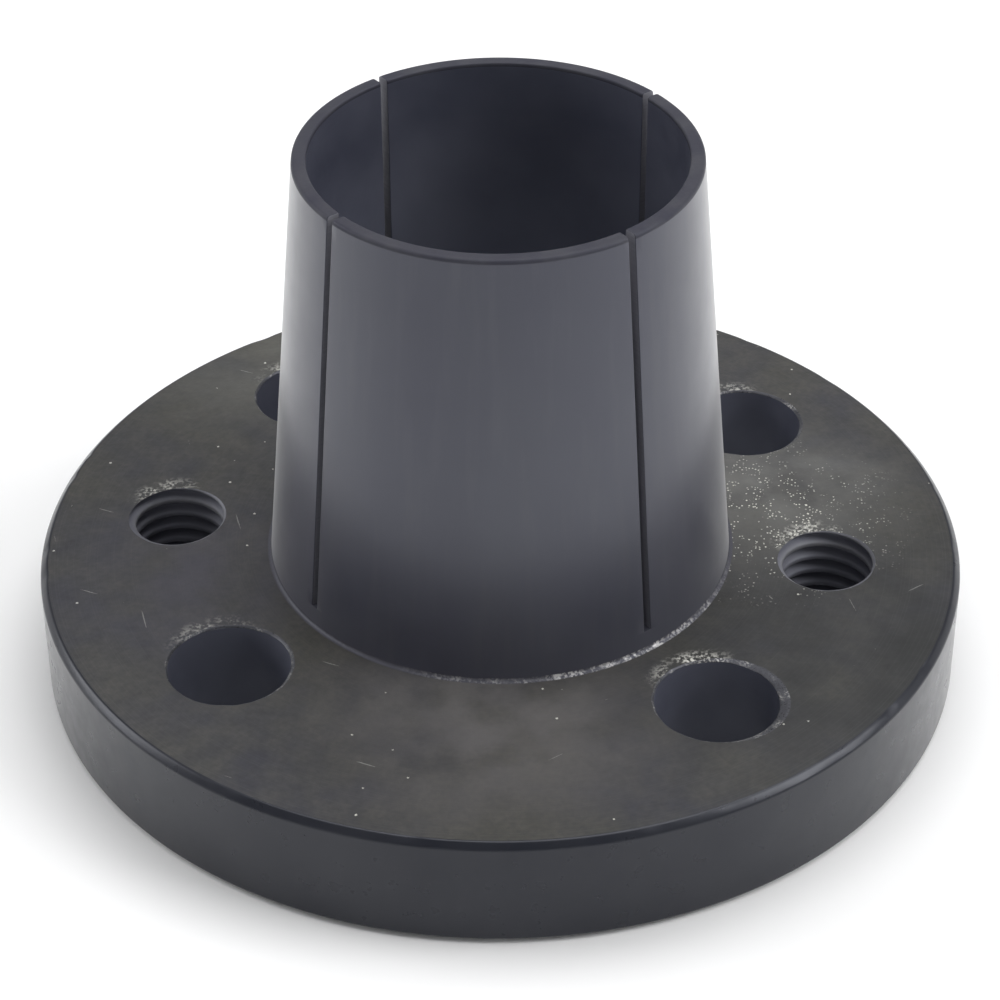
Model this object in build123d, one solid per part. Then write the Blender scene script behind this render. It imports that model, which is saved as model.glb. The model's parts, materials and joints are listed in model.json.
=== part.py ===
from build123d import *
import math
import os

# Flanged split taper sleeve, in millimetres.
# The flange lies flat on z = 0 and the sleeve rises along +Z from the flange's centre.
# A slotted neck on a bolted flange: four slits divide the neck into spring fingers,
# which bend inward at the root and grip whatever is in the bore.

# Driving dimensions
FLANGE_DIAMETER = 70.0
FLANGE_THICKNESS = 9.0
TOTAL_HEIGHT = 42.5
BORE_DIAMETER = 27.0
FOOT_DIAMETER = 35.0  # the taper's diameter where its line meets the flange face
LIP_DIAMETER = 29.1  # the taper's diameter where its line meets the lip
BOLT_CIRCLE_DIAMETER = 50.0
BOLT_HOLE_DIAMETER = 9.0  # clearance for an M8 screw
JACK_HOLE_DIAMETER = 6.8  # minor diameter of an M8 thread
SLIT_WIDTH = 0.6

# Edges, seats and depths
FLANGE_CHAMFER = 0.45
BOLT_HOLE_BREAK = 0.12
JACK_HOLE_BREAK = 0.2
BORE_EDGE_BREAK = 0.3
LIP_OUTER_BREAK = 0.25
LIP_INNER_BREAK = 0.15
SEAT_DIAMETER = 34.0  # the root's shank, pressed into the flange disc
FOOT_FILLET = 0.3
FOOT_LAND = 0.05  # height of the root shoulder's thin outer edge
SLIT_FLOOR_ABOVE_FACE = 1.6

# Directions, in degrees from +X
BOLT_HOLE_ANGLES = (45, 135, 225, 315)
SLIT_ANGLES = (45, 135)
FINGER_ANGLES = {"front": 270, "right": 0, "back": 90, "left": 180}
JACK_HOLE_ANGLES = (0, 180)

BOLT_CIRCLE_RADIUS = BOLT_CIRCLE_DIAMETER / 2
BORE_RADIUS = BORE_DIAMETER / 2
FOOT_RADIUS = FOOT_DIAMETER / 2
LIP_RADIUS = LIP_DIAMETER / 2
SLIT_FLOOR = FLANGE_THICKNESS + SLIT_FLOOR_ABOVE_FACE


def taper_radius(z):
    """The neck's outer radius at height z."""
    rise = (z - FLANGE_THICKNESS) / (TOTAL_HEIGHT - FLANGE_THICKNESS)
    return FOOT_RADIUS + (LIP_RADIUS - FOOT_RADIUS) * rise


def turned(*outline):
    """A solid turned about Z from a closed outline of (radius, height) points."""
    return revolve(Plane.XZ * make_face(Polyline(*outline, close=True)), Axis.Z)


def at_angle(radius, angle):
    """A place on a circle about Z, at an angle from +X."""
    turn = math.radians(angle)
    return Pos(radius * math.cos(turn), radius * math.sin(turn), 0)


def hole_cutter(diameter, edge_break):
    """A through hole in the flange with a small 45 degree break at both edges."""
    radius = diameter / 2
    return turned(
        (0, 0),
        (radius + edge_break, 0),
        (radius, edge_break),
        (radius, FLANGE_THICKNESS - edge_break),
        (radius + edge_break, FLANGE_THICKNESS),
        (0, FLANGE_THICKNESS),
    )


def make_flange_disc():
    """The bolted disc: a seat for the sleeve, four screw holes and two jacking-screw holes."""
    rim = FLANGE_DIAMETER / 2
    seat = SEAT_DIAMETER / 2
    disc = turned(
        (seat, 0),
        (rim - FLANGE_CHAMFER, 0),
        (rim, FLANGE_CHAMFER),
        (rim, FLANGE_THICKNESS - FLANGE_CHAMFER),
        (rim - FLANGE_CHAMFER, FLANGE_THICKNESS),
        (seat, FLANGE_THICKNESS),
    )
    bolt_hole = hole_cutter(BOLT_HOLE_DIAMETER, BOLT_HOLE_BREAK)
    for angle in BOLT_HOLE_ANGLES:
        disc -= at_angle(BOLT_CIRCLE_RADIUS, angle) * bolt_hole
    jack_hole = hole_cutter(JACK_HOLE_DIAMETER, JACK_HOLE_BREAK)
    for angle in JACK_HOLE_ANGLES:
        disc -= at_angle(BOLT_CIRCLE_RADIUS, angle) * jack_hole
    return disc


def foot_sagitta():
    """The hollow of the foot's fillet: how far a quarter arc stands off its chord."""
    return FOOT_FILLET * (1 - math.sqrt(0.5))


def make_sleeve_root():
    """The unslit base of the sleeve: a shank in the disc and a filleted foot above it."""
    seat = SEAT_DIAMETER / 2
    fillet_top = FLANGE_THICKNESS + FOOT_FILLET
    foot_wall = taper_radius(fillet_top)
    foot_edge = foot_wall + FOOT_FILLET
    edges = [
        Line((BORE_RADIUS, BORE_EDGE_BREAK), (BORE_RADIUS + BORE_EDGE_BREAK, 0)),
        Line((BORE_RADIUS + BORE_EDGE_BREAK, 0), (seat, 0)),
        Line((seat, 0), (seat, FLANGE_THICKNESS)),
        Line((seat, FLANGE_THICKNESS), (foot_edge, FLANGE_THICKNESS)),
        Line((foot_edge, FLANGE_THICKNESS), (foot_edge, FLANGE_THICKNESS + FOOT_LAND)),
        SagittaArc((foot_edge, FLANGE_THICKNESS + FOOT_LAND), (foot_wall, fillet_top), foot_sagitta()),
        Line((foot_wall, fillet_top), (taper_radius(SLIT_FLOOR), SLIT_FLOOR)),
        Line((taper_radius(SLIT_FLOOR), SLIT_FLOOR), (BORE_RADIUS, SLIT_FLOOR)),
        Line((BORE_RADIUS, SLIT_FLOOR), (BORE_RADIUS, BORE_EDGE_BREAK)),
    ]
    return revolve(Plane.XZ * make_face(Curve(edges)), Axis.Z)


def make_neck():
    """The neck above the root, cut right through by the slits into four fingers."""
    top = TOTAL_HEIGHT
    neck = turned(
        (BORE_RADIUS, SLIT_FLOOR),
        (taper_radius(SLIT_FLOOR), SLIT_FLOOR),
        (taper_radius(top - LIP_OUTER_BREAK), top - LIP_OUTER_BREAK),
        (LIP_RADIUS - LIP_OUTER_BREAK, top),
        (BORE_RADIUS + LIP_INNER_BREAK, top),
        (BORE_RADIUS, top - LIP_INNER_BREAK),
    )
    for angle in SLIT_ANGLES:
        neck -= Rot(0, 0, angle) * Box(FLANGE_DIAMETER, SLIT_WIDTH, 2 * TOTAL_HEIGHT)
    return neck


def make_fingers():
    """The four fingers, each named by the side of the sleeve that it is on."""
    pieces = make_neck().solids()
    fingers = {}
    for side, angle in FINGER_ANGLES.items():
        outward = at_angle(1, angle).position
        fingers["finger_" + side] = max(pieces, key=lambda piece: piece.center().dot(outward))
    return fingers


def main():
    os.makedirs("parts", exist_ok=True)
    nodes = {"flange_disc": make_flange_disc(), "sleeve_root": make_sleeve_root()}
    nodes.update(make_fingers())
    for name, shape in nodes.items():
        export_step(shape, "parts/" + name + ".step")


main()
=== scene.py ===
import json
import math
import random

import bmesh
import bpy
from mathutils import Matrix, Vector, noise
from mathutils.geometry import delaunay_2d_cdt


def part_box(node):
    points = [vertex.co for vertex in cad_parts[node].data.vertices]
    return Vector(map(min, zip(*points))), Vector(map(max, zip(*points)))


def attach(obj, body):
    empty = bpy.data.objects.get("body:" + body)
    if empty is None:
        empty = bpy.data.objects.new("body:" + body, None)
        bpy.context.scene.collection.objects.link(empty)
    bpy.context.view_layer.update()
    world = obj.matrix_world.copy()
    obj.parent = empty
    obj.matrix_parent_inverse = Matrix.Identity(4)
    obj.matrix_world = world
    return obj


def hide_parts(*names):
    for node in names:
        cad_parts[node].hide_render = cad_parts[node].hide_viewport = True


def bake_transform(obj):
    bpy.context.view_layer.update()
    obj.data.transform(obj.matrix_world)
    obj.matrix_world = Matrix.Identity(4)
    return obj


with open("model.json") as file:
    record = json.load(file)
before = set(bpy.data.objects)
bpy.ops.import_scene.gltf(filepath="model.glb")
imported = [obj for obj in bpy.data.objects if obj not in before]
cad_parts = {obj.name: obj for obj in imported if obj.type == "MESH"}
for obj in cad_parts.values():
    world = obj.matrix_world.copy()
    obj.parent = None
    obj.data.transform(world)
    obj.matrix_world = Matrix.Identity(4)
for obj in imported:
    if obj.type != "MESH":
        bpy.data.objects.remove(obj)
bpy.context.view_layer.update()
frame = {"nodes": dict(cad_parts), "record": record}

# The looks of a flanged split taper sleeve in black-oxide steel. Metres, +Z up.
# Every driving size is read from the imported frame.
MM = 0.001
FULL_TURN = 2 * math.pi
SIDES = {"front": 270, "right": 0, "back": 90, "left": 180}
SCREW_ANGLES = (45, 135, 225, 315)
ARC_STEP = 15  # degrees of arc to a facet on small rounded edges


# ---------------------------------------------------------------- sizes from the frame

def mount(name):
    """One of the record's mounts."""
    return next(m for m in frame["record"]["mounts"] if m["name"] == name)


def reach_at(node, height):
    """The least and greatest distance from the axis of a CAD node's corners at a height."""
    corners = frame["nodes"][node].data.vertices
    reach = [c.co.xy.length for c in corners if abs(c.co.z - height) < 0.001 * MM]
    return min(reach), max(reach)


def slit_from_box(radius, corner):
    """The slit's width, from a finger's radius and how far its corner lies from the middle plane."""
    across = math.sqrt(2) * corner
    return math.sqrt(2 * radius ** 2 - across ** 2) - across


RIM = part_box("flange_disc")[1].x
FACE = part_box("flange_disc")[1].z
FOOT_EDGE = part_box("sleeve_root")[1].x
SLIT_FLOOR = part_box("sleeve_root")[1].z
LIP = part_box("finger_front")[1].z
NECK_AT_FLOOR = -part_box("finger_front")[0].y
SLIT = slit_from_box(NECK_AT_FLOOR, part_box("finger_front")[1].x)
LIP_INNER, LIP_OUTER = reach_at("finger_front", LIP)
SEAT = reach_at("flange_disc", FACE)[0]
BORE = mount("shaft_bore")["dims"]["r_mm"] * MM
SCREW_CIRCLE = mount("screw_circle")["dims"]["pcd_mm"] * MM / 2
SCREW_HOLE = mount("screw_circle")["dims"]["hole_r_mm"] * MM
JACK_CIRCLE = mount("jack_thread_right")["pos_m"][0]
THREAD_CREST = mount("jack_thread_right")["dims"]["r_mm"] * MM

# Small edges, and the threads
LIP_OUTER_BREAK = 0.25 * MM
LIP_INNER_BREAK = LIP_INNER - BORE
RIM_CHAMFER = 0.45 * MM
SCREW_HOLE_BREAK = 0.12 * MM
JACK_HOLE_BREAK = 0.2 * MM
SLIT_EDGE = 0.06 * MM
FOOT_FILLET = 0.3 * MM
FOOT_LAND = 0.05 * MM
BORE_BREAK = 0.3 * MM
PITCH = 1.25 * MM  # of an M8 thread
THREAD_DEPTH = 0.6 * MM
GROOVE_MOUTH = 0.75  # the thread groove's width at its mouth and at its floor, in pitches
GROOVE_FLOOR = 0.125
THREAD_STARTS = {1: math.radians(245), -1: math.radians(234)}  # where each groove meets the face
SCREW_HOLE_MARGIN = 0.9 * MM  # flat face kept round a screw hole's edge, as rings of its own
TAPPED_HOLE_MARGIN = 0.3 * MM
RIM_MARGIN = 1.35 * MM  # the same inside the rim's chamfer
RIM_SOFTNESS = 0.3 * MM  # radius of the chamfers' own edges
BREAK_SOFTNESS = 0.05 * MM  # the same on the break at the bottom of the bore

# Hand-made edges, and painted highlights on the foot's fillet and beside the holes. Each hole is named
# by its angle from +X in degrees
EDGE_WAVES = 5  # how quickly a hole's edge wavers round it
LIT_FOOT = 305  # degrees from +X, where the foot's fillet has its painted highlight
GLINT_SIDE = 122  # degrees from +X, from each hole's centre to the painted glints beside it
GLINT_SHARE = {45: 0.7, 135: 0.5, 225: 0.4, 315: 1.0, 0: 0.9, 180: 0.6}  # how bright the painted glints are
LEANING = math.radians(15)  # from +X, the side of a screw hole that the countersink leaned on
LEAN = {45: 0.1 * MM, 135: 0.1 * MM, 225: 0.1 * MM, 315: 0.5 * MM}  # how far it leaned

# Which of a piece's materials a face has
FACED, TURNED, RIM_WALL, BORED, EDGE, SLIT_WALL, FILLET, THREADED, LIP_FACE = range(9)

# The studio floor, in metres
FLOOR_GAP = 0.02 * MM  # how far it lies below the part
FLOOR_FLAT = 0.5  # its flat part's radius
FLOOR_CURVE = 0.35  # radius of the curve up into the wall
WALL_TOP = 0.4

# How finely round things are divided
RIM_FACETS = 360
HOLE_FACETS = 96
FLOOR_FACETS = 96
FLOOR_LEVELS = 12
ARC_FACETS = 40
LEVELS_IN_PITCH = 16
FINGER_LEVELS = 24
LIP_LEVELS = 5

LIP_LINE = LIP_OUTER + LIP_OUTER_BREAK  # the taper's radius, carried up to the lip
TAPER = (NECK_AT_FLOOR - LIP_LINE) / (LIP - SLIT_FLOOR)


def taper_radius(z):
    """The neck's outer radius at a height."""
    return LIP_LINE + TAPER * (LIP - z)


# ---------------------------------------------------------------- mesh helpers

def rounded(corners):
    """An outline through (a, b, radius) corners, with an arc at each corner whose radius isn't 0."""
    outline = []
    for index, (a, b, radius) in enumerate(corners):
        corner = Vector((a, b))
        if not radius:
            outline.append(corner)
            continue
        before = Vector(corners[index - 1][:2]) - corner
        after = Vector(corners[(index + 1) % len(corners)][:2]) - corner
        half = before.angle(after) / 2
        inward = (before.normalized() + after.normalized()).normalized()
        centre = corner + inward * (radius / math.sin(half))
        start = corner + before.normalized() * (radius / math.tan(half)) - centre
        end = corner + after.normalized() * (radius / math.tan(half)) - centre
        first = math.atan2(start.y, start.x)
        sweep = (math.atan2(end.y, end.x) - first + math.pi) % FULL_TURN - math.pi
        steps = max(2, round(abs(math.degrees(sweep)) / ARC_STEP))
        for step in range(steps + 1):
            angle = first + sweep * step / steps
            outline.append(centre + Vector((math.cos(angle), math.sin(angle))) * radius)
    return outline


def ring(bm, centre, radius, height, count, uneven=None):
    """A ring of corners about a vertical axis. uneven gives each one's own (outward, upward) shift."""
    made = []
    for step in range(count):
        angle = FULL_TURN * step / count
        out, up = uneven(angle) if uneven else (0, 0)
        x = centre[0] + (radius + out) * math.cos(angle)
        y = centre[1] + (radius + out) * math.sin(angle)
        made.append(bm.verts.new((x, y, height + up)))
    return made


def bridge(bm, lower, upper, closed=True):
    """Faces between two rows of corners with equal counts."""
    count = len(lower)
    faces = []
    for step in range(count if closed else count - 1):
        after = (step + 1) % count
        corners = (lower[step], lower[after], upper[after], upper[step])
        faces.append(bm.faces.new(corners))
    return faces


def fill(bm, loops, outside):
    """Flat faces over the area bounded by loops of corners, without the triangles that lie outside()."""
    corners = [corner for loop in loops for corner in loop]
    flat = [corner.co.xy / MM for corner in corners]
    edges = []
    first = 0
    for loop in loops:
        count = len(loop)
        edges += [(first + step, first + (step + 1) % count) for step in range(count)]
        first += count
    _, _, triangles, origins, _, _ = delaunay_2d_cdt(flat, edges, [], 0, 1e-7)
    made = []
    for triangle in triangles:
        chosen = [corners[origins[index][0]] for index in triangle]
        middle = sum((corner.co for corner in chosen), Vector()) / 3
        if not outside(middle):
            made.append(bm.faces.new(chosen))
    return made


def finish_piece(bm, name, nodes, materials, sharp=35):
    """Makes a piece that stands for CAD nodes, smooth except at edges sharper than an angle."""
    bmesh.ops.recalc_face_normals(bm, faces=bm.faces)
    for face in bm.faces:
        face.smooth = True
    for edge in bm.edges:
        threaded = all(face.material_index == THREADED for face in edge.link_faces)
        gentle = len(edge.link_faces) == 2 and edge.calc_face_angle(0) < math.radians(sharp)
        edge.smooth = threaded or gentle
    mesh = bpy.data.meshes.new(name)
    bm.to_mesh(mesh)
    bm.free()
    piece = bpy.data.objects.new(name, mesh)
    bpy.context.scene.collection.objects.link(piece)
    for material in materials:
        mesh.materials.append(material)
    shading = piece.modifiers.new("flat faces stay flat", "WEIGHTED_NORMAL")
    shading.keep_sharp = True
    shading.weight = 100
    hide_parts(*nodes)
    return piece


def uneven_edge(seed, waver, lean):
    """A hand-finished hole edge: a small seeded waver, and a wider break on the side leaned on."""
    def shift(angle):
        place = Vector((math.cos(angle), math.sin(angle), 0)) * EDGE_WAVES + Vector((0, 0, seed))
        outward = lean * max(0, math.cos(angle - LEANING)) + waver * noise.noise(place)
        upward = 0.4 * waver * noise.noise(place + Vector((7, 3, 0)))
        return outward, upward
    return shift


# ---------------------------------------------------------------- the flange disc

def on_circle(radius, angle):
    """The place on a circle about the axis, at an angle in degrees from +X."""
    return Vector((radius * math.cos(math.radians(angle)), radius * math.sin(math.radians(angle))))


def dent_depth(angle, dents):
    """How deep a row of small dents is at an angle round an edge."""
    depth = 0
    for place, width, deep in dents:
        apart = (angle - place + math.pi) % FULL_TURN - math.pi
        depth += deep * math.exp(-(apart / width) ** 2)
    return depth


def scatter_dents(seed, count, radius):
    """Seeded dents for an edge of a radius, as (angle, angular width, depth)."""
    draw = random.Random(seed)
    dents = []
    for _ in range(count):
        width = draw.uniform(0.3, 0.9) * MM
        dents.append((draw.uniform(0, FULL_TURN), width / radius, draw.uniform(0.02, 0.09) * MM))
    return dents


def paint(faces, index):
    """Gives faces one of their piece's materials."""
    for face in faces:
        face.material_index = index


def screw_hole(bm, centre, seed, lean):
    """A clearance hole's wall and broken edges. Returns its guard radius and its top and bottom loops.

    lean is how much wider the top edge's break is at the right, where the countersink sat off centre.
    """
    wide = SCREW_HOLE + SCREW_HOLE_BREAK
    guard = wide + SCREW_HOLE_MARGIN
    soft = SCREW_HOLE_BREAK * 0.6
    outline = rounded([
        (guard, FACE, 0),
        (wide, FACE, soft),
        (SCREW_HOLE, FACE - SCREW_HOLE_BREAK, soft),
        (SCREW_HOLE, SCREW_HOLE_BREAK, soft),
        (wide, 0, soft),
        (guard, 0, 0),
    ])
    rows = []
    for number, (out, height) in enumerate(outline):
        broken = 0 < number < len(outline) - 1 and out > SCREW_HOLE + 0.02 * SCREW_HOLE_BREAK
        burr = None
        if broken and height > FACE / 2:
            share = (out - SCREW_HOLE) / SCREW_HOLE_BREAK
            burr = uneven_edge(seed, 0.5 * SCREW_HOLE_BREAK, lean * share)
        rows.append(ring(bm, centre, out, height, HOLE_FACETS, burr))
    for number in range(len(rows) - 1):
        faces = bridge(bm, rows[number], rows[number + 1])
        if number in (0, len(rows) - 2):
            paint(faces, FACED)
        elif abs(outline[number].y - outline[number + 1].y) > FACE / 2:
            paint(faces, BORED)
        else:
            paint(faces, EDGE)
    return guard, rows[0], rows[-1]


def thread_radius(angle, height, start):
    """A tapped hole's radius: a V groove between flat crests, opened out by a break at each end."""
    turns = ((height - FACE) / PITCH - (angle - start) / FULL_TURN) % 1
    from_groove = min(turns, 1 - turns)
    flank = (GROOVE_MOUTH - GROOVE_FLOOR) / 2
    deep = max(0, min(1, (GROOVE_MOUTH / 2 - from_groove) / flank))
    opened = JACK_HOLE_BREAK - min(height, FACE - height)
    return THREAD_CREST + max(THREAD_DEPTH * deep, opened)


def tapped_hole(bm, centre, start):
    """A hole with a right-hand thread. Returns its guard radius and its top and bottom loops."""
    guard = THREAD_CREST + THREAD_DEPTH + TAPPED_HOLE_MARGIN
    rows = [ring(bm, centre, guard, FACE, HOLE_FACETS)]
    levels = round(FACE / PITCH * LEVELS_IN_PITCH)
    for level in range(levels + 1):
        height = FACE * (1 - level / levels)
        rows.append(ring(bm, centre, 0, height, HOLE_FACETS,
                         lambda angle: (thread_radius(angle, height, start), 0)))
    rows.append(ring(bm, centre, guard, 0, HOLE_FACETS))
    for number in range(len(rows) - 1):
        faces = bridge(bm, rows[number], rows[number + 1])
        paint(faces, FACED if number in (0, len(rows) - 2) else THREADED)
    return guard, rows[0], rows[-1]


def rim_wall(bm):
    """The rim with its chamfers and their small dents. Returns its top and bottom loops."""
    inner = RIM - RIM_CHAMFER - RIM_MARGIN
    outline = rounded([
        (inner, FACE, 0),
        (RIM - RIM_CHAMFER, FACE, RIM_SOFTNESS),
        (RIM, FACE - RIM_CHAMFER, RIM_SOFTNESS),
        (RIM, RIM_CHAMFER, RIM_SOFTNESS),
        (RIM - RIM_CHAMFER, 0, RIM_SOFTNESS),
        (inner, 0, 0),
    ])
    dents = scatter_dents(seed=5, count=26, radius=RIM)

    def dented(angle):
        depth = dent_depth(angle, dents)
        return -depth, -depth

    rows = []
    for number, (out, height) in enumerate(outline):
        edge = 0 < number < len(outline) / 2 and height > FACE - 0.6 * RIM_CHAMFER
        rows.append(ring(bm, (0, 0), out, height, RIM_FACETS, dented if edge else None))
    for number in range(len(rows) - 1):
        faces = bridge(bm, rows[number], rows[number + 1])
        paint(faces, FACED if number in (0, len(rows) - 2) else RIM_WALL)
    return rows[0], rows[-1]


def make_disc(materials):
    """The faced disc: its rim, the sleeve's seat and six holes."""
    bm = bmesh.new()
    rim_top, rim_bottom = rim_wall(bm)
    top_loops, bottom_loops = [rim_top], [rim_bottom]
    seat_top = ring(bm, (0, 0), SEAT, FACE, RIM_FACETS)
    seat_bottom = ring(bm, (0, 0), SEAT, 0, RIM_FACETS)
    paint(bridge(bm, seat_top, seat_bottom), BORED)
    top_loops.append(seat_top)
    bottom_loops.append(seat_bottom)
    holes = []
    for number, angle in enumerate(SCREW_ANGLES):
        centre = on_circle(SCREW_CIRCLE, angle)
        holes.append((centre, *screw_hole(bm, centre, seed=11 + number, lean=LEAN[angle])))
    for side, start in THREAD_STARTS.items():
        centre = Vector((side * JACK_CIRCLE, 0))
        holes.append((centre, *tapped_hole(bm, centre, start)))
    for _, _, top, bottom in holes:
        top_loops.append(top)
        bottom_loops.append(bottom)

    def cut_away(place):
        if place.xy.length < SEAT * math.cos(math.pi / RIM_FACETS):
            return True
        flat_of_facet = math.cos(math.pi / HOLE_FACETS)
        return any((place.xy - centre).length < guard * flat_of_facet for centre, guard, _, _ in holes)

    paint(fill(bm, top_loops, cut_away), FACED)
    paint(fill(bm, bottom_loops, cut_away), FACED)
    piece = finish_piece(bm, "faced_disc", ["flange_disc"], materials)
    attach(piece, "base")


# ---------------------------------------------------------------- the sleeve

def make_root(materials):
    """The unslit base of the sleeve, with its fillet at the foot."""
    bm = bmesh.new()
    foot_top = FACE + FOOT_LAND
    outline = rounded([
        (BORE + BORE_BREAK, 0, BREAK_SOFTNESS),
        (SEAT, 0, 0),
        (SEAT, FACE, 0),
        (FOOT_EDGE, FACE, 0),
        (taper_radius(foot_top), foot_top, FOOT_FILLET),
        (NECK_AT_FLOOR, SLIT_FLOOR, 0),
        (BORE, SLIT_FLOOR, 0),
        (BORE, BORE_BREAK, BREAK_SOFTNESS),
    ])
    rows = [ring(bm, (0, 0), out, height, RIM_FACETS) for out, height in outline]
    for number, row in enumerate(rows):
        after = (number + 1) % len(rows)
        faces = bridge(bm, row, rows[after])
        start, end = outline[number], outline[after]
        middle = (start + end) / 2
        if abs(middle.x - BORE) < 0.01 * MM:
            paint(faces, BORED)
        elif middle.y < 0.5 * MM:
            paint(faces, FACED)
        elif FACE < middle.y < FACE + FOOT_FILLET:
            paint(faces, FILLET)
        else:
            paint(faces, TURNED)
    piece = finish_piece(bm, "sleeve_foot", ["sleeve_root"], materials)
    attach(piece, "base")


def finger_row(bm, angle, outer, inner):
    """One level of a finger, as (outer corners, inner corners). outer and inner are (radius, height)."""
    rows = []
    for (radius, height), outside in ((outer, 1), (inner, -1)):
        # from one slit wall, round its edge, along the arc, and round to the other slit wall
        half = math.pi / 4 - math.asin(SLIT / 2 / radius)
        eased = SLIT_EDGE / radius
        middle = 0.3  # how far in from the sharp corner the rounded edge's middle is, in its radii
        places = [
            (half, radius - outside * SLIT_EDGE),
            (half - middle * eased, radius - outside * middle * SLIT_EDGE),
            (half - eased, radius),
        ]
        for step in range(1, ARC_FACETS):
            places.append(((half - eased) * (1 - 2 * step / ARC_FACETS), radius))
        places += [(-turn, out) for turn, out in reversed(places[:3])]
        rows.append([
            bm.verts.new((out * math.cos(angle + turn), out * math.sin(angle + turn), height))
            for turn, out in places
        ])
    return rows


def finger_levels():
    """The levels of a finger from the slit floor to the lip, as ((outer), (inner)) radius and height."""
    levels = []
    straight = LIP - 1.2 * LIP_OUTER_BREAK
    for step in range(FINGER_LEVELS + 1):
        height = SLIT_FLOOR + (straight - SLIT_FLOOR) * step / FINGER_LEVELS
        levels.append(((taper_radius(height), height), (BORE, height)))
    for step in range(1, LIP_LEVELS + 1):
        turn = math.pi / 2 * step / LIP_LEVELS
        drop_out = LIP_OUTER_BREAK * (1 - math.sin(turn))
        drop_in = LIP_INNER_BREAK * (1 - math.sin(turn))
        outer = taper_radius(LIP - LIP_OUTER_BREAK) - LIP_OUTER_BREAK * (1 - math.cos(turn))
        inner = BORE + LIP_INNER_BREAK * (1 - math.cos(turn))
        levels.append(((outer, LIP - drop_out), (inner, LIP - drop_in)))
    return levels


def make_finger(side, angle, materials):
    """One spring finger, from the slit floor to the lip."""
    bm = bmesh.new()
    turn = math.radians(angle)
    rows = [finger_row(bm, turn, outer, inner) for outer, inner in finger_levels()]
    for level, ((outer, inner), (outer_above, inner_above)) in enumerate(zip(rows, rows[1:])):
        straight = level < FINGER_LEVELS
        paint(bridge(bm, outer, outer_above, closed=False), TURNED if straight else LIP_FACE)
        paint(bridge(bm, inner, inner_above, closed=False), BORED if straight else LIP_FACE)
        for end in (0, -1):
            wall = bm.faces.new((outer[end], outer_above[end], inner_above[end], inner[end]))
            paint([wall], SLIT_WALL)
    for outer, inner in (rows[0], rows[-1]):
        paint(bridge(bm, outer, inner, closed=False), LIP_FACE)
    piece = finish_piece(bm, "spring_finger_" + side, ["finger_" + side], materials)
    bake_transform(piece)


# ---------------------------------------------------------------- material helpers

def node(tree, kind, inputs=None, **settings):
    """A shader node. Each input is a plain value or another node's output."""
    made = tree.nodes.new("ShaderNode" + kind)
    for name, value in settings.items():
        setattr(made, name, value)
    for name, value in (inputs or {}).items():
        if isinstance(value, bpy.types.NodeSocket):
            tree.links.new(value, made.inputs[name])
        else:
            made.inputs[name].default_value = value
    return made


def calculate(tree, operation, a, b=0.0):
    """A Math node's result."""
    return node(tree, "Math", {0: a, 1: b}, operation=operation).outputs[0]


def combined(tree, operation, a, b=(0, 0, 0)):
    """A Vector Math node's result."""
    return node(tree, "VectorMath", {0: a, 1: b}, operation=operation).outputs[0]


def product(tree, *values):
    """Several values multiplied together."""
    result = values[0]
    for value in values[1:]:
        result = calculate(tree, "MULTIPLY", result, value)
    return result


def greatest(tree, *values):
    """The greatest of several values."""
    result = values[0]
    for value in values[1:]:
        result = calculate(tree, "MAXIMUM", result, value)
    return result


def spread(tree, value, low, high, at_low=0.0, at_high=1.0):
    """A value's place between low and high, carried to between at_low and at_high."""
    limits = {"Value": value, "From Min": low, "From Max": high, "To Min": at_low, "To Max": at_high}
    return node(tree, "MapRange", limits).outputs[0]


def mixed(tree, share, colour, other):
    """One colour passing into another."""
    return node(tree, "Mix", {0: share, 6: colour, 7: other}, data_type="RGBA").outputs[2]


def clouds(tree, place, size, detail=3.0, stretch=(1, 1, 1)):
    """Soft random patches of about a size in metres, from 0 to 1."""
    place = combined(tree, "MULTIPLY", place, stretch)
    return node(tree, "TexNoise", {"Vector": place, "Scale": 1 / size, "Detail": detail}).outputs[0]


def tool_lines(tree, along, spacing):
    """Fine parallel lines left by a cutting tool, one every spacing of a coordinate in metres."""
    inputs = {"W": along, "Scale": 1 / spacing, "Detail": 2.0}
    made = node(tree, "TexNoise", inputs, noise_dimensions="1D")
    return made.outputs[0]


def specks(tree, place, spacing, size, share, length=1.0, angle=0.0):
    """1 on small scattered marks, else 0. length stretches them.

    They lie in cells spacing apart, and share is how many of the cells hold one.
    """
    turn = {"Vector": place, "Angle": angle}
    turned = node(tree, "VectorRotate", turn, rotation_type="Z_AXIS").outputs[0]
    pulled = combined(tree, "MULTIPLY", turned, (1 / length, 1, 1))
    shaky = node(tree, "TexNoise", {"Vector": pulled, "Scale": 2.5 / size, "Detail": 2.0}).outputs[1]
    shift = node(tree, "VectorMath", {0: shaky, 3: size * 1.5}, operation="SCALE").outputs[0]
    place = combined(tree, "ADD", pulled, shift)
    cells = node(tree, "TexVoronoi", {"Vector": place, "Scale": 1 / spacing})
    near = calculate(tree, "LESS_THAN", cells.outputs["Distance"], size / spacing)
    drawn = node(tree, "SeparateColor", {0: cells.outputs["Color"]}).outputs[0]
    return product(tree, near, calculate(tree, "LESS_THAN", drawn, share))


def near_spot(tree, place, spot, inner, outer):
    """1 within inner of an (x, y) spot on the disc's face, falling to 0 at outer."""
    point = (spot[0], spot[1], FACE)
    apart = node(tree, "VectorMath", {0: place, 1: point}, operation="DISTANCE").outputs["Value"]
    return spread(tree, apart, inner, outer, 1.0, 0.0)


def relief(tree, height, depth, below=None):
    """A bump of a depth in metres, laid over another one."""
    inputs = {"Height": height, "Distance": depth, "Strength": 1.0}
    if below:
        inputs["Normal"] = below
    return node(tree, "Bump", inputs).outputs[0]


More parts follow.
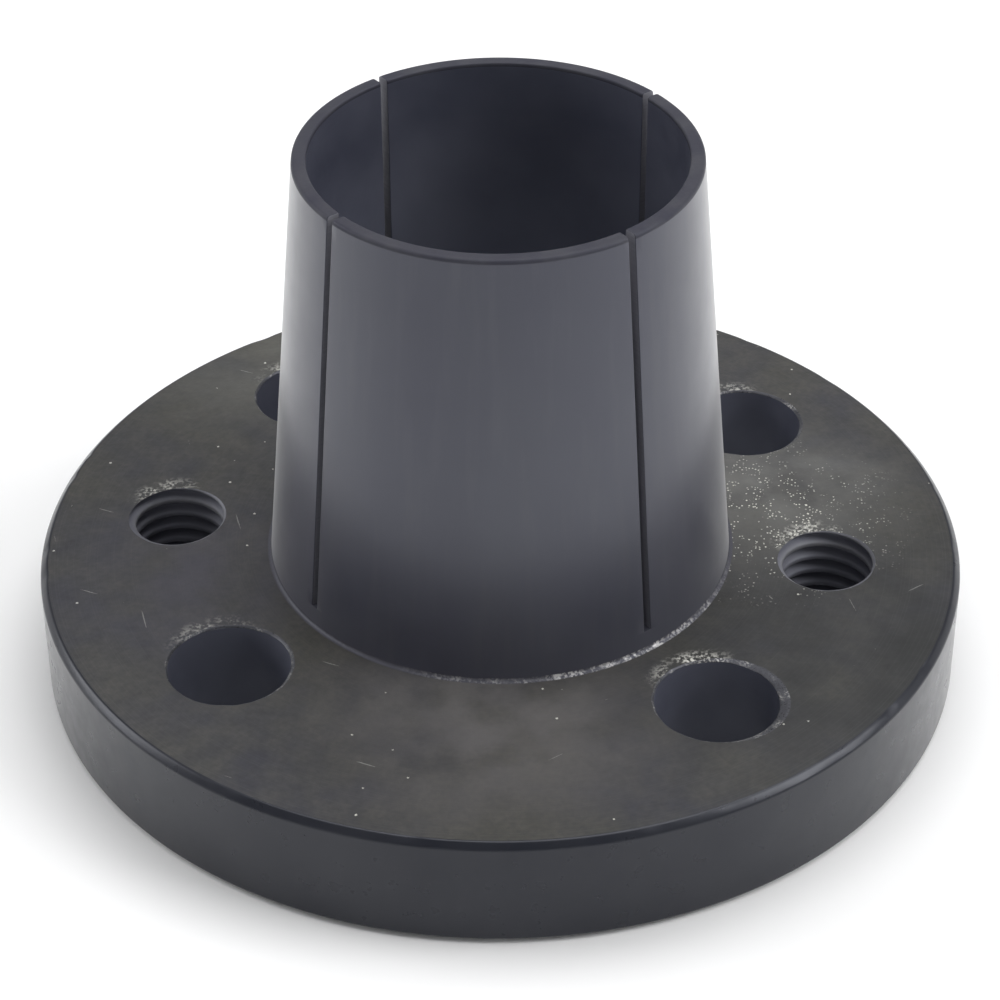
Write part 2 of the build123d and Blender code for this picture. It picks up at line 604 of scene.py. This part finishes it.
class Steel:
    """A black-oxide steel finish: its node tree, the place on the part, its height and radius.

    The oxide reflects a little blue. oiled is how much of a thin film of rust-proofing oil lies on it,
    and dusty how much fine dust, which pales it where it is seen nearly edge on.
    """

    def __init__(self, name, metallic=0.0, gloss=1.5, oiled=0.0, dusty=0.0):
        self.material = bpy.data.materials.new(name)
        self.material.use_nodes = True
        self.tree = self.material.node_tree
        self.shader = self.tree.nodes["Principled BSDF"]
        self.shader.inputs["Metallic"].default_value = metallic
        self.shader.inputs["IOR"].default_value = gloss
        self.shader.inputs["Specular Tint"].default_value = (0.84, 0.87, 1.0, 1)
        self.shader.inputs["Coat Weight"].default_value = oiled
        self.shader.inputs["Coat Roughness"].default_value = 0.27
        self.shader.inputs["Sheen Weight"].default_value = dusty
        self.shader.inputs["Sheen Roughness"].default_value = 0.3
        self.place = node(self.tree, "TexCoord").outputs["Object"]
        self.height = node(self.tree, "SeparateXYZ", {0: self.place}).outputs[2]
        flat = combined(self.tree, "MULTIPLY", self.place, (1, 1, 0))
        self.radius = node(self.tree, "VectorMath", {0: flat}, operation="LENGTH").outputs["Value"]

    def set(self, colour, roughness, normal):
        """Links the finish's colour, roughness and surface direction. Returns its material."""
        for name, value in (("Base Color", colour), ("Roughness", roughness), ("Normal", normal)):
            self.tree.links.new(value, self.shader.inputs[name])
        return self.material


# ---------------------------------------------------------------- finishes

def hole_at(angle):
    """The centre and the edge's radius of the disc's hole at an angle."""
    if angle in SCREW_ANGLES:
        return on_circle(SCREW_CIRCLE, angle), SCREW_HOLE
    return on_circle(JACK_CIRCLE, angle), THREAD_CREST + THREAD_DEPTH / 2


def painted_hole_glints(tree, place):
    """Painted glints beside the holes: grains of bright colour, all on the same side of each hole."""
    grains = spread(tree, clouds(tree, place, 0.24 * MM, 3), 0.46, 0.60)
    patchy = spread(tree, clouds(tree, place, 1.5 * MM, 2), 0.35, 0.50)
    beside_holes = []
    for angle, share in GLINT_SHARE.items():
        centre, radius = hole_at(angle)
        side = centre + on_circle(radius, GLINT_SIDE)
        near_edge = near_spot(tree, place, centre, radius + 0.5 * MM, radius + 1.5 * MM)
        near_side = near_spot(tree, place, side, 0.8 * MM, 0.85 * radius)
        beside_holes.append(product(tree, near_edge, near_side, share))
    return product(tree, greatest(tree, *beside_holes), grains, patchy)


def oxide_and_sheen_tones(tree, place):
    """The disc's mottled oxide: olive and blue-grey, with a few large paler and darker patches, one of
    them a painted sheen.
    """
    patches = spread(tree, clouds(tree, place, 9 * MM), 0.35, 0.65)
    blots = spread(tree, clouds(tree, place, 2.2 * MM, 4), 0.38, 0.68)
    colour = mixed(tree, patches, (0.040, 0.040, 0.046, 1), (0.056, 0.054, 0.045, 1))
    colour = mixed(tree, product(tree, blots, 0.5), colour, (0.076, 0.072, 0.064, 1))
    fine = spread(tree, clouds(tree, place, 0.5 * MM, 5), 0.35, 0.65, 0.0, 0.45)
    colour = mixed(tree, fine, colour, (0.030, 0.030, 0.031, 1))
    ragged = spread(tree, clouds(tree, place, 5 * MM, 5), 0.36, 0.60, 0.35, 1.15)
    # each patch's place and reach are in rim radii
    for x, y, reach, share, tone in (
        (0.06, -0.58, 0.44, 0.70, (0.122, 0.115, 0.115, 1)),  # paler in front of the foot
        (-0.62, -0.20, 0.34, 0.60, (0.066, 0.063, 0.078, 1)),  # bluer oxide at the left of the neck
        (0.58, 0.20, 0.36, 0.85, (0.165, 0.163, 0.153, 1)),  # greyed by dust beside the neck
        (-0.60, 0.62, 0.40, 0.60, (0.110, 0.108, 0.094, 1)),  # painted sheen, paler at the back left
        (0.84, -0.30, 0.66, 0.95, (0.028, 0.028, 0.026, 1)),  # darker oxide at the right
    ):
        near = near_spot(tree, place, (x * RIM, y * RIM), 0.1 * reach * RIM, reach * RIM)
        colour = mixed(tree, product(tree, near, ragged, share), colour, tone)
    return colour


def dust_specks(tree, place):
    """A few specks all over the disc, and clusters of specks and lint at the right of the neck."""
    few = specks(tree, place, 1.6 * MM, 0.10 * MM, 0.4)
    many = greatest(
        tree,
        specks(tree, place, 0.26 * MM, 0.07 * MM, 0.6),
        specks(tree, place, 1.0 * MM, 0.11 * MM, 0.5),
        specks(tree, place, 0.8 * MM, 0.05 * MM, 0.6, length=5.0, angle=0.9),
        specks(tree, place, 0.8 * MM, 0.05 * MM, 0.6, length=5.0, angle=2.3),
    )
    dusty = near_spot(tree, place, (20 * MM, 5 * MM), 4 * MM, 12 * MM)
    clusters = spread(tree, clouds(tree, place, 1.6 * MM), 0.46, 0.56)
    return greatest(tree, product(tree, few, 0.7), product(tree, many, dusty, clusters))


def make_faced():
    """The disc's flat faces: dull mottled oxide with faint turned rings, scratches and dust, and painted
    glints beside the holes.
    """
    steel = Steel("faced oxide steel", metallic=0.1)
    tree, place = steel.tree, steel.place
    steel.shader.inputs["Specular IOR Level"].default_value = 0.3
    colour = oxide_and_sheen_tones(tree, place)
    rings = tool_lines(tree, steel.radius, 0.12 * MM)
    colour = mixed(tree, spread(tree, rings, 0.5, 0.8, 0.0, 0.10), colour, (0.12, 0.12, 0.11, 1))
    scratches = greatest(tree, *[
        specks(tree, place, 1.4 * MM, 0.05 * MM, 0.8, length, angle)
        for angle, length in ((0.3, 14.0), (1.2, 20.0), (2.4, 16.0))
    ])
    colour = mixed(tree, product(tree, scratches, 0.5), colour, (0.30, 0.30, 0.28, 1))
    dust = dust_specks(tree, place)
    colour = mixed(tree, dust, colour, (0.74, 0.73, 0.66, 1))
    # painted glints: pale grains on one side of each hole, standing in for light catching the edges
    rubbed_and_glints = painted_hole_glints(tree, place)
    colour = mixed(tree, rubbed_and_glints, colour, (0.66, 0.65, 0.60, 1))
    roughness = spread(tree, clouds(tree, place, 1.3 * MM, 5), 0.3, 0.7, 0.50, 0.66)
    normal = relief(tree, rings, 0.004 * MM)
    normal = relief(tree, clouds(tree, place, 0.35 * MM, 4), 0.032 * MM, normal)
    normal = relief(tree, greatest(tree, dust, rubbed_and_glints), 0.05 * MM, normal)
    return steel.set(colour, roughness, normal)


def make_turned():
    """The neck: smooth, blue-black, with the fine rings that turning leaves and faint drag marks."""
    steel = Steel("turned oxide steel", gloss=1.64, oiled=0.35, dusty=0.6)
    tree, place = steel.tree, steel.place
    patches = spread(tree, clouds(tree, place, 14 * MM, 3, (1, 1, 0.5)), 0.35, 0.65)
    colour = mixed(tree, patches, (0.018, 0.018, 0.032, 1), (0.028, 0.029, 0.040, 1))
    # paler low on the neck: painted light lifting the shade there
    low = spread(tree, steel.height, FACE + 10 * MM, LIP - 4 * MM, 0.3, 0.0)
    colour = mixed(tree, low, colour, (0.080, 0.080, 0.098, 1))
    streaks = clouds(tree, place, 1.1 * MM, 3, (1, 1, 0.06))
    colour = mixed(tree, spread(tree, streaks, 0.5, 0.8, 0.0, 0.15), colour, (0.09, 0.09, 0.09, 1))
    lines = tool_lines(tree, steel.height, 0.09 * MM)
    roughness = spread(tree, clouds(tree, place, 2.5 * MM, 4), 0.3, 0.7, 0.29, 0.36)
    normal = relief(tree, lines, 0.0016 * MM)
    normal = relief(tree, clouds(tree, place, 1.2 * MM, 2, (1, 1, 0.3)), 0.004 * MM, normal)
    return steel.set(colour, roughness, normal)


def make_rim():
    """The disc's rim: turned like the neck, but duller and darker."""
    steel = Steel("rim oxide steel", gloss=1.34, oiled=0.3, dusty=0.3)
    tree, place = steel.tree, steel.place
    patches = spread(tree, clouds(tree, place, 8 * MM, 4), 0.35, 0.65)
    colour = mixed(tree, patches, (0.008, 0.009, 0.014, 1), (0.015, 0.016, 0.021, 1))
    lines = tool_lines(tree, steel.height, 0.14 * MM)
    roughness = spread(tree, clouds(tree, place, 1.5 * MM, 4), 0.3, 0.7, 0.26, 0.36)
    normal = relief(tree, lines, 0.0010 * MM)
    normal = relief(tree, clouds(tree, place, 1.2 * MM, 2, (1, 1, 0.5)), 0.006 * MM, normal)
    return steel.set(colour, roughness, normal)


def make_bored():
    """The bore and the holes: dull blue-black, with boring marks, and painted paler lower down in the
    bore, to lift the shade there.
    """
    steel = Steel("bored oxide steel", gloss=1.7)
    tree, place = steel.tree, steel.place
    patches = spread(tree, clouds(tree, place, 7 * MM), 0.35, 0.65)
    upper = mixed(tree, patches, (0.046, 0.049, 0.070, 1), (0.062, 0.065, 0.088, 1))
    lower = mixed(tree, patches, (0.150, 0.158, 0.200, 1), (0.180, 0.188, 0.230, 1))
    # painted light: paler colour deep in the bore, and a little of it in the holes
    deep = spread(tree, steel.height, LIP - 20 * MM, LIP - 4 * MM, 1.0, 0.0)
    in_bore = spread(tree, steel.radius, BORE + 1 * MM, BORE + 2 * MM, 1.0, 0.25)
    colour = mixed(tree, product(tree, deep, in_bore), upper, lower)
    lines = tool_lines(tree, steel.height, 0.16 * MM)
    roughness = spread(tree, clouds(tree, place, 2 * MM, 4), 0.3, 0.7, 0.38, 0.5)
    normal = relief(tree, lines, 0.005 * MM)
    return steel.set(colour, roughness, normal)


def make_edge():
    """Broken edges: the oxide is rubbed thin here, so grains of bright steel show through."""
    steel = Steel("rubbed edge steel", metallic=0.2)
    tree, place = steel.tree, steel.place
    rubbed_and_glints = spread(tree, clouds(tree, place, 1.6 * MM, 4), 0.52, 0.70)
    grains = spread(tree, clouds(tree, place, 0.16 * MM, 2), 0.45, 0.62)
    wear_and_highlight = product(tree, rubbed_and_glints, grains)
    colour = mixed(tree, wear_and_highlight, (0.046, 0.046, 0.051, 1), (0.45, 0.44, 0.42, 1))
    roughness = spread(tree, grains, 0.0, 1.0, 0.42, 0.26)
    normal = relief(tree, clouds(tree, place, 0.2 * MM, 3), 0.02 * MM)
    return steel.set(colour, roughness, normal)


def make_slit_wall():
    """The slits' sawn walls, painted paler than the turned face to lift the shade inside the slits."""
    steel = Steel("sawn oxide steel")
    tree, place = steel.tree, steel.place
    lines = tool_lines(tree, steel.height, 0.2 * MM)
    # painted light: the pale colour lifts the shade in the slits
    colour = mixed(tree, lines, (0.12, 0.12, 0.14, 1), (0.165, 0.165, 0.185, 1))
    roughness = spread(tree, clouds(tree, place, 0.8 * MM, 3), 0.3, 0.7, 0.5, 0.65)
    normal = relief(tree, lines, 0.008 * MM)
    return steel.set(colour, roughness, normal)


def make_fillet():
    """The small fillet at the foot: thinly oxided, with a painted highlight of bright grains on one
    side.
    """
    steel = Steel("fillet oxide steel", metallic=0.15)
    tree, place = steel.tree, steel.place
    # painted highlight: pale grains on one side of the fillet, where light would catch it
    side = near_spot(tree, place, on_circle(FOOT_EDGE, LIT_FOOT), 4 * MM, 16 * MM)
    grains = spread(tree, clouds(tree, place, 0.22 * MM, 3), 0.42, 0.62)
    patchy = spread(tree, clouds(tree, place, 1.4 * MM, 3), 0.38, 0.55, 0.15, 1.0)
    wear_and_highlight = product(tree, side, grains, patchy)
    colour = mixed(tree, wear_and_highlight, (0.050, 0.049, 0.060, 1), (0.48, 0.47, 0.46, 1))
    roughness = spread(tree, wear_and_highlight, 0.0, 1.0, 0.48, 0.24)
    normal = relief(tree, clouds(tree, place, 0.25 * MM, 3), 0.03 * MM)
    return steel.set(colour, roughness, normal)


def make_threaded():
    """The thread: a painted highlight on the crests near the mouth, and darker painted shade on the
    rest.
    """
    steel = Steel("threaded steel")
    tree, place = steel.tree, steel.place
    # both holes are folded onto one side, to measure how far out from its hole's axis a place is
    folded = combined(tree, "ABSOLUTE", place)
    flat = combined(tree, "MULTIPLY", folded, (1, 1, 0))
    centre = (JACK_CIRCLE, 0, 0)
    out = node(tree, "VectorMath", {0: flat, 1: centre}, operation="DISTANCE").outputs["Value"]
    crest = spread(tree, out, THREAD_CREST, THREAD_CREST + 0.35 * MM, 1.0, 0.0)
    mouth = spread(tree, steel.height, FACE - 2.6 * MM, FACE - 0.8 * MM, 0.12, 1.0)
    patches = spread(tree, clouds(tree, place, 0.9 * MM, 4, (1, 1, 2)), 0.35, 0.7, 0.6, 1.0)
    # painted highlight on the crests near the mouth; the grooves and deeper turns keep the darker colour
    # as painted shade
    light = product(tree, crest, mouth, patches)
    colour = mixed(tree, light, (0.115, 0.117, 0.14, 1), (0.17, 0.17, 0.18, 1))
    roughness = spread(tree, clouds(tree, place, 0.4 * MM, 3), 0.3, 0.7, 0.45, 0.6)
    normal = relief(tree, clouds(tree, place, 0.3 * MM, 4, (1, 1, 3)), 0.012 * MM)
    return steel.set(colour, roughness, normal)


def make_lip():
    """The lip's narrow top face and its broken edges: satin, a little paler than the neck."""
    steel = Steel("lip oxide steel", gloss=1.3)
    tree, place = steel.tree, steel.place
    patches = spread(tree, clouds(tree, place, 3 * MM, 4), 0.35, 0.65)
    colour = mixed(tree, patches, (0.034, 0.034, 0.047, 1), (0.050, 0.050, 0.060, 1))
    roughness = spread(tree, clouds(tree, place, 1.0 * MM, 4), 0.3, 0.7, 0.42, 0.52)
    normal = relief(tree, clouds(tree, place, 0.3 * MM, 4), 0.012 * MM)
    return steel.set(colour, roughness, normal)


# ---------------------------------------------------------------- camera, floor and light

def make_camera():
    """The camera, looking down at the part from in front, with a slight turn to the right."""
    azimuth = math.radians(7.0)
    elevation = math.radians(35.8)
    roll = math.radians(0.286)
    distance = 6.801 * RIM
    above_centre = 0.2895 * RIM
    back = Vector((
        math.sin(azimuth) * math.cos(elevation),
        -math.cos(azimuth) * math.cos(elevation),
        math.sin(elevation),
    ))
    up = Vector((
        -math.sin(azimuth) * math.sin(elevation),
        math.cos(azimuth) * math.sin(elevation),
        math.cos(elevation),
    ))
    camera = bpy.data.objects.new("camera", bpy.data.cameras.new("camera"))
    bpy.context.scene.collection.objects.link(camera)
    camera.data.sensor_width = 36
    camera.data.lens = 109.4
    camera.data.clip_start = 0.01
    camera.data.clip_end = 20
    camera.location = back * distance + up * above_centre
    aim = back.to_track_quat("Z", "Y").to_matrix()
    camera.rotation_euler = aim.to_euler()
    camera.rotation_euler.rotate_axis("Z", -roll)
    bpy.context.scene.camera = camera


def make_stage():
    """A pale floor that curves up into a wall all round."""
    bm = bmesh.new()
    middle = bm.verts.new((0, 0, -FLOOR_GAP))
    outline = [(0.12, 0), (FLOOR_FLAT, 0)]
    for step in range(1, FLOOR_LEVELS + 1):
        turn = math.pi / 2 * step / FLOOR_LEVELS
        out = FLOOR_FLAT + FLOOR_CURVE * math.sin(turn)
        outline.append((out, FLOOR_CURVE * (1 - math.cos(turn))))
    outline.append((FLOOR_FLAT + FLOOR_CURVE, WALL_TOP))
    rows = [ring(bm, (0, 0), out, height - FLOOR_GAP, FLOOR_FACETS) for out, height in outline]
    for step in range(FLOOR_FACETS):
        bm.faces.new((middle, rows[0][step], rows[0][(step + 1) % FLOOR_FACETS]))
    for lower, upper in zip(rows, rows[1:]):
        bridge(bm, lower, upper)
    bmesh.ops.recalc_face_normals(bm, faces=bm.faces)
    for face in bm.faces:
        face.smooth = True
    mesh = bpy.data.meshes.new("studio_floor")
    bm.to_mesh(mesh)
    bm.free()
    floor = bpy.data.objects.new("studio_floor", mesh)
    bpy.context.scene.collection.objects.link(floor)
    paper = bpy.data.materials.new("matt paper")
    paper.use_nodes = True
    tree = paper.node_tree
    shader = tree.nodes["Principled BSDF"]
    place = node(tree, "TexCoord").outputs["Object"]
    tint = mixed(tree, clouds(tree, place, 0.04), (0.88, 0.88, 0.88, 1), (0.91, 0.91, 0.91, 1))
    tree.links.new(tint, shader.inputs["Base Color"])
    shader.inputs["Roughness"].default_value = 0.9
    shader.inputs["Specular IOR Level"].default_value = 0.2
    mesh.materials.append(paper)


def make_light(name, place, size, power):
    """A soft square light, aimed at the part."""
    lamp = bpy.data.lights.new(name, "AREA")
    lamp.shape = "SQUARE"
    lamp.size = size
    lamp.energy = power
    light = bpy.data.objects.new(name, lamp)
    light.location = place
    light.rotation_euler = (Vector(place) - Vector((0, 0, LIP / 2))).to_track_quat("Z", "Y").to_euler()
    bpy.context.scene.collection.objects.link(light)


def make_world(strength):
    """An even pale sky."""
    world = bpy.data.worlds.new("even sky")
    bpy.context.scene.world = world
    world.use_nodes = True
    sky = world.node_tree.nodes["Background"]
    sky.inputs["Color"].default_value = (0.97, 0.98, 1.0, 1)
    sky.inputs["Strength"].default_value = strength


# ---------------------------------------------------------------- the scene

finishes = [
    make_faced(), make_turned(), make_rim(), make_bored(),
    make_edge(), make_slit_wall(), make_fillet(), make_threaded(), make_lip(),
]
make_disc(finishes)
make_root(finishes)
for side, angle in SIDES.items():
    make_finger(side, angle, finishes)

make_stage()
make_light("overhead", (0.05, 0.14, 0.55), 0.50, 2.2)
make_light("window_right", (0.46, -0.03, 0.40), 0.30, 1.8)
make_light("window_left", (-0.50, 0.05, 0.30), 0.30, 1.2)
make_world(0.3)
make_camera()

bpy.context.scene.view_settings.view_transform = "Standard"
